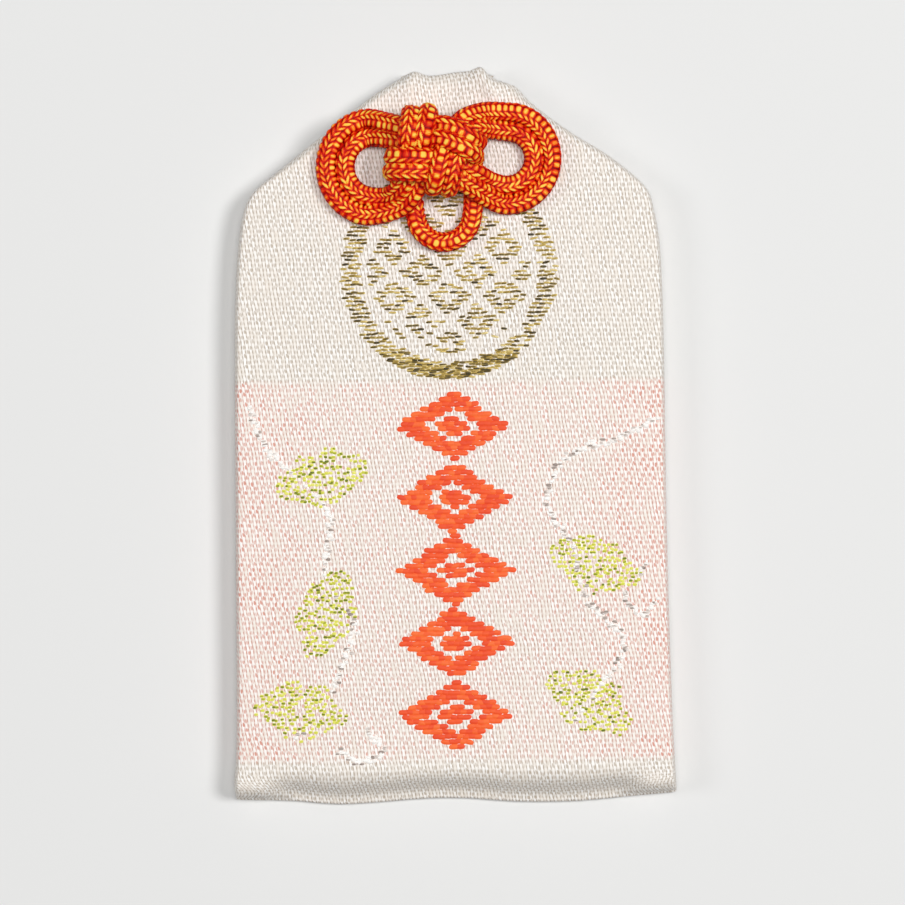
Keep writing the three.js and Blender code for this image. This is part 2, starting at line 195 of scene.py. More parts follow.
def smooth_line(points, step, cuts=24):
    """A centripetal Catmull-Rom curve through the points, cut at even steps.

    On each span the curve is the cubic that meets both ends with tangents weighed by the square roots of the
    distances between the points.
    """
    points = np.asarray(points, float)
    padded = np.concatenate([[2 * points[0] - points[1]], points, [2 * points[-1] - points[-2]]])
    spans = np.sqrt(np.linalg.norm(np.diff(padded, axis=0), axis=1))[:, None]
    before, start, end, after = padded[:-3], padded[1:-2], padded[2:-1], padded[3:]
    first, middle, last = spans[:-2], spans[1:-1], spans[2:]
    slope = (end - start) / middle
    leave = middle * ((start - before) / first - (end - before) / (first + middle) + slope)
    arrive = middle * (slope - (after - start) / (middle + last) + (after - end) / last)
    share = np.linspace(0, 1, cuts, endpoint=False)[None, :, None]
    square = (3 * (end - start) - 2 * leave - arrive)[:, None]
    cube = (2 * (start - end) + leave + arrive)[:, None]
    fine = start[:, None] + leave[:, None] * share + square * share**2 + cube * share**3
    fine = np.concatenate([fine.reshape(-1, 3), points[-1:]])
    along = lengths_along(fine)
    even = np.linspace(0, along[-1], round(along[-1] / step) + 1)
    return np.stack([np.interp(even, along, fine[:, axis]) for axis in range(3)], axis=1)


def draw_up(home, spacing, steps_apart):
    """Passes nearer than the spacing push each other aside, and each push spreads along the cord."""
    rounds, share, spread, recover = 240, 0.22, 0.25, 0.99
    count = len(home)
    near = np.abs(np.subtract.outer(np.arange(count), np.arange(count))) < steps_apart
    push = np.zeros_like(home)
    for _ in range(rounds):
        points = home + push
        apart = points[:, None] - points[None]
        distance = np.linalg.norm(apart, axis=2)
        overlap = np.where(near, 0, np.maximum(spacing - distance, 0))
        push += (apart * (share * overlap / np.maximum(distance, 1e-9))[:, :, None]).sum(axis=1)
        padded = np.concatenate([push[:1], push, push[-1:]])
        push = recover * ((1 - spread) * push + spread * (padded[:-2] + padded[2:]) / 2)
        push[[0, -1]] = 0
    return home + push


even_route = smooth_line(np.array(route) * cord_width, cord_step)
drawn_route = draw_up(even_route, pass_spacing, math.ceil(2 * cord_width / cord_step))
pressed_route = drawn_route * [1, 1, cord_press] + knot_middle

# The braid: three times round the cord, a wide column of stitches that lie square to it and two narrow
# columns that lean towards each other in Vs. Each stitch is a lump of flat, untwisted, glossy filaments.
# The cord twists slowly as it lies, by a third of a turn in each twist length.
stitch_pitch = 0.68 * mm
twist_length = 60 * mm
stitch_repeats = 3
column_starts = np.array([0, 0.44, 0.72])
column_widths = np.array([0.44, 0.28, 0.28])
column_leans = np.array([0, 0.45, -0.45])
column_offsets = np.array([0, 0.5, 0.5])
stitch_depth = 0.28
shine_spread, painted_side_shade = 0.08, 0.3
ring_step = 0.113 * mm
cord_sides = 48
cord_spread = 1.1
cord_flatness = 0.72


def cord_frames(path):
    """Two directions square to the path at each point: one level, one up.

    The level direction is Z crossed with the tangent. Its sign is carried through where the cord turns over,
    and it is averaged over a cord width each way, so that it passes the upright stretches without a twist.
    """
    tangent = np.gradient(path, axis=0)
    tangent /= np.linalg.norm(tangent, axis=1, keepdims=True)
    level = np.cross([0, 0, 1], tangent)
    turns = np.sign((level[1:] * level[:-1]).sum(axis=1))
    level[1:] *= np.cumprod(np.where(turns == 0, 1, turns))[:, None]
    window = np.hanning(2 * round(cord_width / ring_step) + 1)
    reach = len(window) // 2
    padded = np.pad(level, ((reach, reach), (0, 0)), mode="edge")
    level = np.stack([np.convolve(padded[:, axis], window, "valid") for axis in range(3)], axis=1)
    level -= tangent * (level * tangent).sum(axis=1, keepdims=True)
    level /= np.linalg.norm(level, axis=1, keepdims=True)
    return level, np.cross(tangent, level)


def stitch_relief(length, around):
    """Height of the braid from 0 in its grooves to 1, and how bright each stitch is.

    The stitches are round lumps, one stitch pitch long. With p from -1 to 1 along a stitch and q from -1 to 1
    across its column, the height is sqrt((1 - 0.95 p^2) (1 - 0.8 q^4)).
    """
    repeat = np.floor(around).astype(int)
    column = np.searchsorted(column_starts, around - repeat, side="right") - 1
    across = 2 * (around - repeat - column_starts[column]) / column_widths[column] - 1
    along = length / stitch_pitch + column_offsets[column] + column_leans[column] * across
    place = 2 * (along - np.floor(along)) - 1
    relief = np.sqrt((1 - 0.95 * place**2) * (1 - 0.8 * across**4))
    stitch = np.floor(along).astype(int) + 1
    stitches = (stitch_repeats, len(column_starts), stitch.max() + 1)
    shine = np.random.default_rng(5).normal(1, shine_spread, stitches)
    return relief, shine[repeat % stitch_repeats, column, stitch]


def grid_object(name, points, closed_across=False, capped=False, uv=None, tone=None):
    """A mesh over one grid of points, or over a stack of grids; a closed grid joins its two sides."""
    rows, columns = points.shape[-3:-1]
    spans = columns if closed_across else columns - 1
    row, column = np.meshgrid(np.arange(rows - 1), np.arange(spans), indexing="ij")
    after = (column + 1) % columns
    low, high = row * columns, (row + 1) * columns
    corners = [low + column, low + after, high + after, high + column]
    starts = np.arange(0, points.size // 3, rows * columns)[:, None, None, None]
    faces = (starts + np.stack(corners, axis=-1)).reshape(-1, 4).tolist()
    if capped:
        faces += [list(range(columns))[::-1], list(range((rows - 1) * columns, rows * columns))]
    mesh = bpy.data.meshes.new(name)
    mesh.from_pydata(points.reshape(-1, 3).tolist(), [], faces)
    if uv is not None:
        corner_rows = np.stack([row, row, row + 1, row + 1], axis=-1)
        corner_columns = np.stack([column, column + 1, column + 1, column], axis=-1)
        pairs = np.stack([value[corner_rows, corner_columns] for value in uv], axis=-1).reshape(-1, 2)
        spare = 2 * columns if capped else 0
        layer = mesh.uv_layers.new(name="surface")
        layer.data.foreach_set("uv", np.concatenate([pairs, np.zeros((spare, 2))]).ravel())
    if tone is not None:
        mesh.attributes.new("tone", "FLOAT", "POINT").data.foreach_set("value", tone.ravel())
    mesh.shade_smooth()
    piece = bpy.data.objects.new(name, mesh)
    bpy.context.scene.collection.objects.link(piece)
    return piece


def flat_ring():
    """Points round a cord of radius 1, equally far apart from the top round, broad and flat.

    With turn t the ring is (|cos t|^f, |sin t|^f) with their signs, so that cords side by side close up.
    """
    turn = np.pi / 2 + np.linspace(0, 2 * np.pi, 720)
    aside = cord_spread * np.sign(np.cos(turn)) * np.abs(np.cos(turn)) ** cord_flatness
    upwards = np.sign(np.sin(turn)) * np.abs(np.sin(turn)) ** cord_flatness
    reach = lengths_along(np.stack([aside, cord_press * upwards, 0 * turn], axis=1))
    steps = np.linspace(0, reach[-1], cord_sides, endpoint=False)
    return np.interp(steps, reach, aside), np.interp(steps, reach, upwards)


def braided_cord(name, path):
    """A ring of points round each point of the path, as far out as the braid's relief puts it."""
    level, up = cord_frames(path)
    length = lengths_along(path)
    around = np.linspace(0, stitch_repeats, cord_sides, endpoint=False)
    relief, shine = stitch_relief(length[:, None], around + length[:, None] / twist_length)
    radius = cord_width / 2 * (1 - stitch_depth + stitch_depth * relief)
    aside, upwards = flat_ring()
    ring = level[:, None] * aside[None, :, None] + up[:, None] * upwards[None, :, None]
    offset = radius[:, :, None] * ring * [1, 1, cord_press]
    u = np.repeat(length[:, None] / stitch_pitch, cord_sides + 1, axis=1)
    v = np.repeat(np.append(around, stitch_repeats)[None], len(path), axis=0)
    # The tone paints shade: low in the grooves and darker on the sides of the cord; high relief gives the
    # painted highlight
    tone = relief * shine * (1 - painted_side_shade + painted_side_shade * np.abs(upwards))
    return grid_object(name, path[:, None] + offset, closed_across=True, capped=True, uv=(u, v), tone=tone)


knot_path = smooth_line(pressed_route, ring_step)
knot_cord = braided_cord("knot_cord", knot_path)

# The two tails go down through the cloth behind the knot and meet in one short run on the back
tail_height, bend_height, run_height = 2.2 * mm, 1.3 * mm, 0.78 * mm
left_top, right_top = knot_path[0], knot_path[-1]


def below(share, height):
    """A point under the line between the two tails."""
    x, y, _ = left_top + (right_top - left_top) * share
    return x, y, height


tail_path = smooth_line(
    [
        left_top,
        below(0, tail_height),
        below(0.02, bend_height),
        below(0.25, run_height),
        below(0.75, run_height),
        below(0.98, bend_height),
        below(1, tail_height),
        right_top,
    ],
    ring_step,
)
cord_tails = braided_cord("cord_tails", tail_path)


# Braided rayon cord: flat glossy filaments dyed vermilion. Its colour comes from the tone and carries painted
# light:
# the crowns of the stitches get a painted orange highlight, the grooves between them and the cord's sides a
# painted deep red shade.
def linear(hex_colour):
    """The linear RGBA of an sRGB hex value."""
    channels = np.array([int(hex_colour[place:place + 2], 16) for place in (1, 3, 5)]) / 255
    straight = np.where(channels <= 0.04045, channels / 12.92, ((channels + 0.055) / 1.055) ** 2.4)
    return (*straight.tolist(), 1)


def add_node(tree, kind, inputs=None, output=0, **settings):
    """Adds a node with its settings, fills its inputs with values or links, and gives one of its outputs."""
    node = tree.nodes.new(kind)
    for name, value in settings.items():
        setattr(node, name, value)
    for socket, value in (inputs or {}).items():
        if isinstance(value, bpy.types.NodeSocket):
            tree.links.new(value, node.inputs[socket])
        else:
            node.inputs[socket].default_value = value
    return node.outputs[output]


def new_material(name, roughness):
    """An empty node material, its tree and its shader."""
    material = bpy.data.materials.new(name)
    material.use_nodes = True
    shader = material.node_tree.nodes["Principled BSDF"]
    shader.inputs["Roughness"].default_value = roughness
    return material, material.node_tree, shader


def set_ramp(ramp_output, tones):
    """Gives a colour ramp its stops, each a place and an sRGB hex value."""
    ramp = ramp_output.node.color_ramp
    while len(ramp.elements) < len(tones):
        ramp.elements.new(0.5)
    for element, (place, tone) in zip(ramp.elements, tones):
        element.position = place
        element.color = linear(tone)


# From painted deep red shade in the grooves, through the vermilion dye, to a painted orange and yellow
# highlight on the crowns
cord_dye_shade_and_highlight = [
    (0.3, "#720000"),
    (0.5, "#B80000"),
    (0.68, "#E01C04"),
    (0.8, "#F25C10"),
    (0.9, "#FD9C24"),
    (0.99, "#FFD456"),
]
filament_scale = (11, 3.2, 1)
filament_contrast = 0.45

braid, tree, shader = new_material("braided_rayon_cord", 0.48)
place = add_node(tree, "ShaderNodeUVMap", uv_map="surface")
strands = add_node(tree, "ShaderNodeMapping", {"Vector": place, "Scale": filament_scale})
filaments = add_node(tree, "ShaderNodeTexNoise", {"Vector": strands, "Scale": 1, "Detail": 2})
relief = add_node(tree, "ShaderNodeAttribute", output=2, attribute_name="tone")
centred = add_node(tree, "ShaderNodeMath", {0: filaments, 1: 0.5}, operation="SUBTRACT")
uneven = {0: centred, 1: filament_contrast, 2: relief}
mottled = add_node(tree, "ShaderNodeMath", uneven, operation="MULTIPLY_ADD")
tone = add_node(tree, "ShaderNodeValToRGB", {0: mottled})
set_ramp(tone, cord_dye_shade_and_highlight)
bump = add_node(tree, "ShaderNodeBump", {"Height": filaments, "Distance": 0.05 * mm, "Strength": 0.5})
tree.links.new(tone, shader.inputs["Base Color"])
tree.links.new(bump, shader.inputs["Normal"])
shader.inputs["Specular IOR Level"].default_value = 0.12
for piece in (knot_cord, cord_tails):
    piece.data.materials.append(braid)
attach(knot_cord, "knot")
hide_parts("cord_knot")
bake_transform(cord_tails)
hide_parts("cord_back_run")

# The pouch: one strip of figured satin, folded at the bottom edge and sewn up both sides, with its top
# corners folded in along two slopes. The board inside keeps its front flat, with a crease above the bottom
# fold.
cloth_thickness = 0.45 * mm
pouch_thickness = 4.14 * mm
mouth_thickness = 2.38 * mm
mouth_lift = 1.8 * mm
lift_start, lift_end = 24 * mm, 30 * mm
seam_height = 0.55 * mm
seam_turn = 0.4 * mm
side_round, slope_round = 0.5 * mm, 1.3 * mm
fold_round, back_round, corner_round = 0.25 * mm, mm, 1.5 * mm
crease_height = -34.05 * mm
straight_fall, fold_fall = 0.35, 0.86
corner_start, corner_reach = 6.5 * mm, 4 * mm
lip_round, lip_drop, lip_reach = 0.3 * mm, 1.3 * mm, 1.6 * mm
strip_low, strip_high, back_high = -36.9 * mm, 37.2 * mm, 36.5 * mm

# Edges measured in the picture, in millimetres: each side at some heights, then both ends from left to right
left_side = [
    (-38, -22.5), (-35.4, -22.8), (-33, -22.6), (-29, -22.5), (-10, -22.4), (14, -22.2), (20, -21.8),
    (23, -21.3), (25, -20.4), (28.2, -16.5), (31.2, -12.7), (34.3, -8.7), (35.2, -7.5), (36.4, -5.8),
    (37.2, -4.5), (38, -3.3)
]
right_side = [
    (-38, 22.8), (-29, 22.4), (-10, 22), (14, 21.8), (20, 21.5), (23, 21), (25, 20.4), (28.2, 16.9),
    (31.2, 12.2), (34.3, 8.2), (35, 7.6), (35.8, 6.9), (36.3, 6.1), (36.6, 5.2), (37.2, 4.2), (38, 3)
]
bottom_edge = [
    (-24, -37.3), (-17, -37.5), (-12.2, -37.9), (-9, -37.8), (-3, -37.4), (0.8, -37.4), (6.4, -37.8),
    (12.5, -37.8), (18.7, -37.3), (24, -36.9)
]
mouth_edge = [
    (-8, 37.2), (-4.7, 37), (-3.5, 37.35), (-2.1, 36.95), (0.8, 37.3), (2.1, 37.4), (3.3, 37.75),
    (4.2, 37), (8, 37.2)
]


def smooth_profile(points):
    """A smooth curve through points in millimetres, as a function in metres of their first value."""
    line = smooth_line([(place, value, 0) for place, value in points], 0.2)
    return lambda place: np.interp(place / mm, line[:, 0], line[:, 1]) * mm


left_at = smooth_profile(left_side)
right_at = smooth_profile(right_side)
bottom_at = smooth_profile(bottom_edge)
mouth_at = smooth_profile(mouth_edge)


def ease(value):
    """A smooth rise from 0 at 0 to 1 at 1: 3 t^2 - 2 t^3."""
    share = np.clip(value, 0, 1)
    return share**2 * (3 - 2 * share)


def lifted(y):
    """How far the back has left the table towards the mouth: 0 on the body, 1 at the mouth."""
    return ease((y - lift_start) / (lift_end - lift_start))


def round_at(y):
    """The radius of the side edges, more on the soft slopes."""
    return side_round + (slope_round - side_round) * lifted(y)


def inwards(x, y):
    """Distance from the nearer side."""
    return np.minimum(x - left_at(y), right_at(y) - x)


def quarter_round(distance, radius):
    """0 at the edge, 1 from one radius inwards, along a quarter of a circle."""
    return np.sqrt(1 - np.clip(1 - distance / radius, 0, 1) ** 2)


def bottom_fall(x, y):
    """Share of the height lost below the crease: steepest half way down, late and round at the corners."""
    share = np.clip((crease_height - y) / (crease_height - strip_low), 0, 1)
    slope = straight_fall * share + (1 - straight_fall) * ease(ease(share))
    corner = 1 - quarter_round(y - strip_low, corner_round)
    empty = ease((corner_start - inwards(x, y)) / corner_reach)
    return fold_fall * (slope + (corner - slope) * empty)


# Soft pleats run down from the mouth. Each row is where one starts across and how far it leans in each
# millimetre down, then its breadth and its share of the height; the last one is a valley.
pleats = [(-3.5, -0.2, 2, 1), (3.1, 0.6, 2, 1), (1, -0.4, 2.5, -0.7)]
pleat_top = 37.5
pleat_start, pleat_reach, pleat_height = 30 * mm, 7 * mm, 0.45 * mm
crossed_wave, slanted_wave = (3.1 * mm, 4.3 * mm), (5.3 * mm, 6.1 * mm)
wave_phase, wave_height = 0.6, 0.035 * mm


def front_height(x, y):
    """The outer face of the front: side rounds, bottom slope, a lip with soft pleats, and slight waves.

    At a distance d from its line, a pleat of breadth b has the share exp(-d^2 / b) of its height.
    """
    full = pouch_thickness + (mouth_thickness - pouch_thickness) * lifted(y)
    folds = np.zeros_like(x)
    for start, lean, breadth, share in pleats:
        from_line = x / mm - start - lean * (pleat_top - y / mm)
        folds = folds + share * np.exp(-from_line**2 / breadth)
    near_mouth = ease((y - pleat_start) / pleat_reach)
    lip = lip_drop * (1 - quarter_round(strip_high - y, lip_reach))
    waves = np.sin(x / crossed_wave[0] + wave_phase) * np.cos(y / crossed_wave[1])
    waves = waves + np.sin(x / slanted_wave[0] - y / slanted_wave[1])
    soft = pleat_height * folds * near_mouth - lip + wave_height * waves
    rise = (full - seam_height) * (1 - bottom_fall(x, y)) + soft
    return mouth_lift * lifted(y) + seam_height + rise * quarter_round(inwards(x, y), round_at(y))


def back_height(x, y):
    """The outer face of the back: flat on the table, turned up to the seam, and lifted towards the mouth."""
    return mouth_lift * lifted(y) + seam_height * (1 - quarter_round(inwards(x, y), back_round))


def strip_columns(y, side_count, flat_count):
    """x of each column at the heights y: turned in at the seam, round the side, and evenly over the flat."""
    left, right, radius = left_at(y)[:, None], right_at(y)[:, None], round_at(y)[:, None]
    side = radius * (1 - np.cos(np.linspace(0, np.pi / 2, side_count)))
    side = np.concatenate([np.tile([2 * seam_turn, seam_turn], (len(y), 1)), side], axis=1)
    flat = left + radius + (right - left - 2 * radius) * np.linspace(0, 1, flat_count)[1:-1]
    return np.concatenate([left + side, flat, right - side[:, ::-1]], axis=1)


def rows_of(height, shift, front, rise):
    """Rows of the strip, each with its height, a shift along Y, its share of the front face and a rise."""
    return np.stack(np.broadcast_arrays(height, shift, front, rise), axis=1).astype(float)


# The rows run from the back of the mouth down the back, round the fold and up the front, and turn in at
# both ends
tuck_start = -0.26
slope_rows = np.linspace(strip_low, crease_height + mm, 24)
flat_rows = np.linspace(crease_height + mm, strip_high - lip_reach, 175)
lip_rows = np.linspace(strip_high - lip_reach, strip_high, 16)
front_rows = np.concatenate([slope_rows, flat_rows[1:], lip_rows[1:]])
back_rows = np.linspace(back_high, strip_low, 70)
turn = np.linspace(-np.pi / 2, np.pi / 2, 9)[1:-1]
tuck = np.linspace(tuck_start, np.pi / 2, 6)
edge = np.linspace(0, np.pi / 2, 6)
strip_rows = np.concatenate([
    rows_of(back_high, lip_round * np.cos(edge), 0, lip_round * (1 - np.sin(edge))),
    rows_of(back_rows[1:], 0, 0, 0),
    rows_of(strip_low, -fold_round * np.cos(turn), (1 + np.sin(turn)) / 2, 0),
    rows_of(front_rows, 0, 1, 0),
    rows_of(strip_high, lip_round * (np.cos(tuck) - 1), 1, lip_round * (tuck_start - np.sin(tuck))),
])
side_columns, flat_columns = 14, 96
seam_share, seam_bend = 0.15, 0.3
mouth_wave_start, mouth_wave_reach = 32 * mm, 5 * mm
fold_wave_start, fold_wave_reach = crease_height + 2 * mm, 4 * mm


def strip_surface(rows):
    """Points of the cloth for the rows, with the waves of its two ends, and turned in at both seams.

    The turned-in edges lie the other way up, so they bend the other way at the mouth.
    """
    height, shift, front, rise = rows.T[:, :, None]
    x = strip_columns(rows[:, 0], side_columns, flat_columns)
    side = seam_share + (1 - seam_share) * quarter_round(inwards(x, height), round_at(height))
    side[:, [0, 1, -2, -1]] = seam_share
    y = height + shift * side
    y = y + (mouth_at(x) - strip_high) * ease((height - mouth_wave_start) / mouth_wave_reach)
    y = y + (bottom_at(x) - strip_low + fold_round) * ease((fold_wave_start - height) / fold_wave_reach)
    z = back_height(x, height) + front * (front_height(x, height) - back_height(x, height)) + rise * side
    z[:, [0, 1, -2, -1]] = z[:, [2, 2, -3, -3]] - seam_bend * rise
    return np.stack([x, y, z], axis=2)


def developed(points, rows_from_end=100):
    """Lengths across and along the cloth in millimetres, which equal x and y on the flat of the front.

    They are counted from the middle column and from a row on that flat, this many rows from the end.
    """
    middle = points.shape[1] // 2
    steps = np.diff(points[:, :, ::2], axis=1, prepend=points[:, :1, ::2])
    across = np.cumsum(np.linalg.norm(steps, axis=2), axis=1)
    across += points[:, middle, :1] - across[:, middle:middle + 1]
    along = lengths_along(points[:, middle])
    flat_row = len(points) - rows_from_end
    along += points[flat_row, middle, 1] - along[flat_row]
    return across / mm, np.broadcast_to(along[:, None], across.shape) / mm


strip_points = strip_surface(strip_rows)
pouch_cloth = grid_object("pouch_cloth", strip_points, uv=developed(strip_points))
thick = pouch_cloth.modifiers.new("cloth_thickness", "SOLIDIFY")
thick.thickness = cloth_thickness
thick.offset = -1

# Figured satin: white silk floats in leaning columns over a ground that is tan at both ends and pink in a
# band between them. The ground shows in the gaps between columns, and as one fleck where each float is
# tied down. Pitches and places are in millimetres of cloth, flecks and gaps in shares of a float.
column_pitch, float_pitch = 0.355, 0.99
column_lean, satin_step = 0.156, 0.5
fleck_width, fleck_length = 0.3, 0.25
fleck_edge = (1.1, 0.6)
fleck_chance, fleck_least = 0.6, 0.22
gap_share, gap_width = 2.1, 0.26
gap_by_row = (1.4, 0.5)
deep_start, deep_end, deep_share = 13, 22, 0.8
cloud_low, cloud_high, cloud_share = 0.4, 0.6, 1.2
wander_scale, cloud_scale, streak_scale = 0.45, 0.16, (2.3, 0.35, 1)
thread_sway = (0.35, 0.4, 0)
stray, steady = (0.36, 0.3, 0), (0.32, 0.35, 0)
pink_low, pink_high, pink_edge = -32.9, 5.7, 0.4
ground_tan, ground_pink = "#B8A793", "#DA9684"
silk_dull, silk_bright = "#F2EAE0", "#FFFDFA"
gap_pink, own_share = 0.6, 0.5
dull_below, bright_above = 0.35, 1.1

satin, tree, shader = new_material("figured_satin", 0.5)
place = add_node(tree, "ShaderNodeUVMap", uv_map="surface")
wander = add_node(tree, "ShaderNodeTexNoise", {"Vector": place, "Scale": wander_scale, "Detail": 2}, output=1)
sway = {0: wander, 1: thread_sway, 2: place}
swayed = add_node(tree, "ShaderNodeVectorMath", sway, operation="MULTIPLY_ADD")
across = add_node(tree, "ShaderNodeSeparateXYZ", {0: swayed})
along = across.node.outputs[1]
upright = add_node(tree, "ShaderNodeMath", {0: along, 1: column_lean, 2: across}, operation="MULTIPLY_ADD")
columns = add_node(tree, "ShaderNodeMath", {0: upright, 1: column_pitch}, operation="DIVIDE")
column = add_node(tree, "ShaderNodeMath", {0: columns}, operation="FLOOR")
aside = add_node(tree, "ShaderNodeMath", {0: columns, 1: column}, operation="SUBTRACT")
rows = add_node(tree, "ShaderNodeMath", {0: along, 1: float_pitch}, operation="DIVIDE")
stepped = add_node(tree, "ShaderNodeMath", {0: column, 1: satin_step, 2: rows}, operation="MULTIPLY_ADD")
float_number = add_node(tree, "ShaderNodeMath", {0: stepped}, operation="FLOOR")
onwards = add_node(tree, "ShaderNodeMath", {0: stepped, 1: float_number}, operation="SUBTRACT")
cell = add_node(tree, "ShaderNodeCombineXYZ", {0: column, 1: float_number})
chance = add_node(tree, "ShaderNodeTexWhiteNoise", {"Vector": cell}, noise_dimensions="2D")
in_cell = add_node(tree, "ShaderNodeCombineXYZ", {0: aside, 1: onwards})
strays = {0: chance.node.outputs[1], 1: stray, 2: steady}
middle = add_node(tree, "ShaderNodeVectorMath", strays, operation="MULTIPLY_ADD")
from_middle = add_node(tree, "ShaderNodeVectorMath", {0: in_cell, 1: middle}, operation="SUBTRACT")
shares = (1 / fleck_width, 1 / fleck_length, 0)
scaled = add_node(tree, "ShaderNodeVectorMath", {0: from_middle, 1: shares}, operation="MULTIPLY")
reach = add_node(tree, "ShaderNodeVectorMath", {0: scaled}, output=1, operation="LENGTH")
rim = {0: reach, 1: fleck_edge[0], 2: fleck_edge[1]}
fleck = add_node(tree, "ShaderNodeMapRange", rim, interpolation_type="SMOOTHSTEP")
rising = {0: along, 1: pink_low - pink_edge, 2: pink_low + pink_edge}
falling = {0: along, 1: pink_high + pink_edge, 2: pink_high - pink_edge}
band_low = add_node(tree, "ShaderNodeMapRange", rising)
band_high = add_node(tree, "ShaderNodeMapRange", falling)
band = add_node(tree, "ShaderNodeMath", {0: band_low, 1: band_high}, operation="MULTIPLY")
cloud = add_node(tree, "ShaderNodeTexNoise", {"Vector": place, "Scale": cloud_scale, "Detail": 3})
aside_deep = add_node(tree, "ShaderNodeMath", {0: across}, operation="ABSOLUTE")
deeper = add_node(tree, "ShaderNodeMapRange", {0: aside_deep, 1: deep_start, 2: deep_end, 4: deep_share})
cloudy = add_node(tree, "ShaderNodeMapRange", {0: cloud, 1: cloud_low, 2: cloud_high, 4: cloud_share})
patchy = add_node(tree, "ShaderNodeMath", {0: deeper, 1: cloudy}, operation="MULTIPLY")
in_band = add_node(tree, "ShaderNodeMath", {0: patchy, 1: band}, operation="MULTIPLY")
fuller = add_node(tree, "ShaderNodeMath", {0: in_band, 1: 1}, operation="ADD")
chances = {0: chance, 1: fleck_chance, 2: fleck_least}
strength = add_node(tree, "ShaderNodeMath", chances, operation="MULTIPLY_ADD")
stronger = add_node(tree, "ShaderNodeMath", {0: strength, 1: fuller}, operation="MULTIPLY")
flecks = add_node(tree, "ShaderNodeMath", {0: fleck, 1: stronger}, operation="MULTIPLY", use_clamp=True)
lengthwise = add_node(tree, "ShaderNodeMapping", {"Vector": swayed, "Scale": streak_scale})
streaks = add_node(tree, "ShaderNodeTexNoise", {"Vector": lengthwise, "Scale": 1, "Detail": 2})
from_gap = add_node(tree, "ShaderNodeMath", {0: columns, 1: 0.5}, operation="PINGPONG")
gap = add_node(tree, "ShaderNodeMapRange", {0: from_gap, 1: gap_width, 2: 0, 4: gap_share})
doubled = add_node(tree, "ShaderNodeMath", {0: rows, 1: 2}, operation="MULTIPLY")
from_row = add_node(tree, "ShaderNodeMath", {0: doubled, 1: 0.5}, operation="PINGPONG")
in_row = {0: from_row, 1: 0, 2: 0.5, 3: gap_by_row[0], 4: gap_by_row[1]}
by_row = add_node(tree, "ShaderNodeMapRange", in_row)
uneven = add_node(tree, "ShaderNodeMath", {0: streaks, 1: by_row}, operation="MULTIPLY")
gaps = add_node(tree, "ShaderNodeMath", {0: gap, 1: uneven}, operation="MULTIPLY")
shown = add_node(tree, "ShaderNodeMath", {0: flecks, 1: gaps}, operation="MAXIMUM")
patches = add_node(tree, "ShaderNodeMath", {0: cloud, 1: deeper}, operation="ADD")
deep = add_node(tree, "ShaderNodeMath", {0: chance, 1: own_share, 2: patches}, operation="MULTIPLY_ADD")
pink = add_node(tree, "ShaderNodeMath", {0: band, 1: deep}, operation="MULTIPLY")
ends = {6: linear(ground_tan), 7: linear(ground_pink)}
ground = add_node(tree, "ShaderNodeMix", {0: pink, **ends}, output=2, data_type="RGBA")
less_pink = add_node(tree, "ShaderNodeMath", {0: pink, 1: gap_pink}, operation="MULTIPLY")
gap_ground = add_node(tree, "ShaderNodeMix", {0: less_pink, **ends}, output=2, data_type="RGBA")
ends = {6: linear(silk_dull), 7: linear(silk_bright)}
gloss = add_node(tree, "ShaderNodeMath", {0: chance, 1: own_share, 2: streaks}, operation="MULTIPLY_ADD")
lustre = add_node(tree, "ShaderNodeMapRange", {0: gloss, 1: dull_below, 2: bright_above})
silk = add_node(tree, "ShaderNodeMix", {0: lustre, **ends}, output=2, data_type="RGBA")
woven = add_node(tree, "ShaderNodeMix", {0: gaps, 6: silk, 7: gap_ground}, output=2, data_type="RGBA")
tone = add_node(tree, "ShaderNodeMix", {0: flecks, 6: woven, 7: ground}, output=2, data_type="RGBA")
depth = add_node(tree, "ShaderNodeMath", {0: 1, 1: shown}, operation="SUBTRACT")
bump = add_node(tree, "ShaderNodeBump", {"Height": depth, "Distance": 0.06 * mm, "Strength": 0.4})
tree.links.new(tone, shader.inputs["Base Color"])
tree.links.new(bump, shader.inputs["Normal"])
pouch_cloth.data.materials.append(satin)
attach(pouch_cloth, "pouch")
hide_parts("brocade_front", "brocade_back", "mouth_tuck_left", "mouth_tuck_right")

# The figure: extra wefts of gold, vermilion, green and white that float over the satin in rows and are tied
# down between. They draw a lattice in a ring, five nested lozenges, and fan leaves on two vines.
draw = np.random.default_rng(11)
float_lengths, float_tilt = (0.8, 1.15), 0.08
end_taper, float_bed = 0.85, 0.15
fibre_scale = (900, 5000, 900)


def float_places(shape, low, high, length, row_pitch, stagger, kept, stray):
    """Middles of the floats that a shape covers, in staggered rows, each off its place by chance."""
    x, y = np.meshgrid(np.arange(low[0], high[0], length), np.arange(low[1], high[1], row_pitch))
    x = x + (stagger * np.arange(len(x)) % 1)[:, None] * length
    chosen = shape(x / mm, y / mm) & (draw.random(x.shape) < kept)
    middles = np.stack([x[chosen], y[chosen]], axis=1)
    return middles + draw.normal(0, stray, middles.shape)


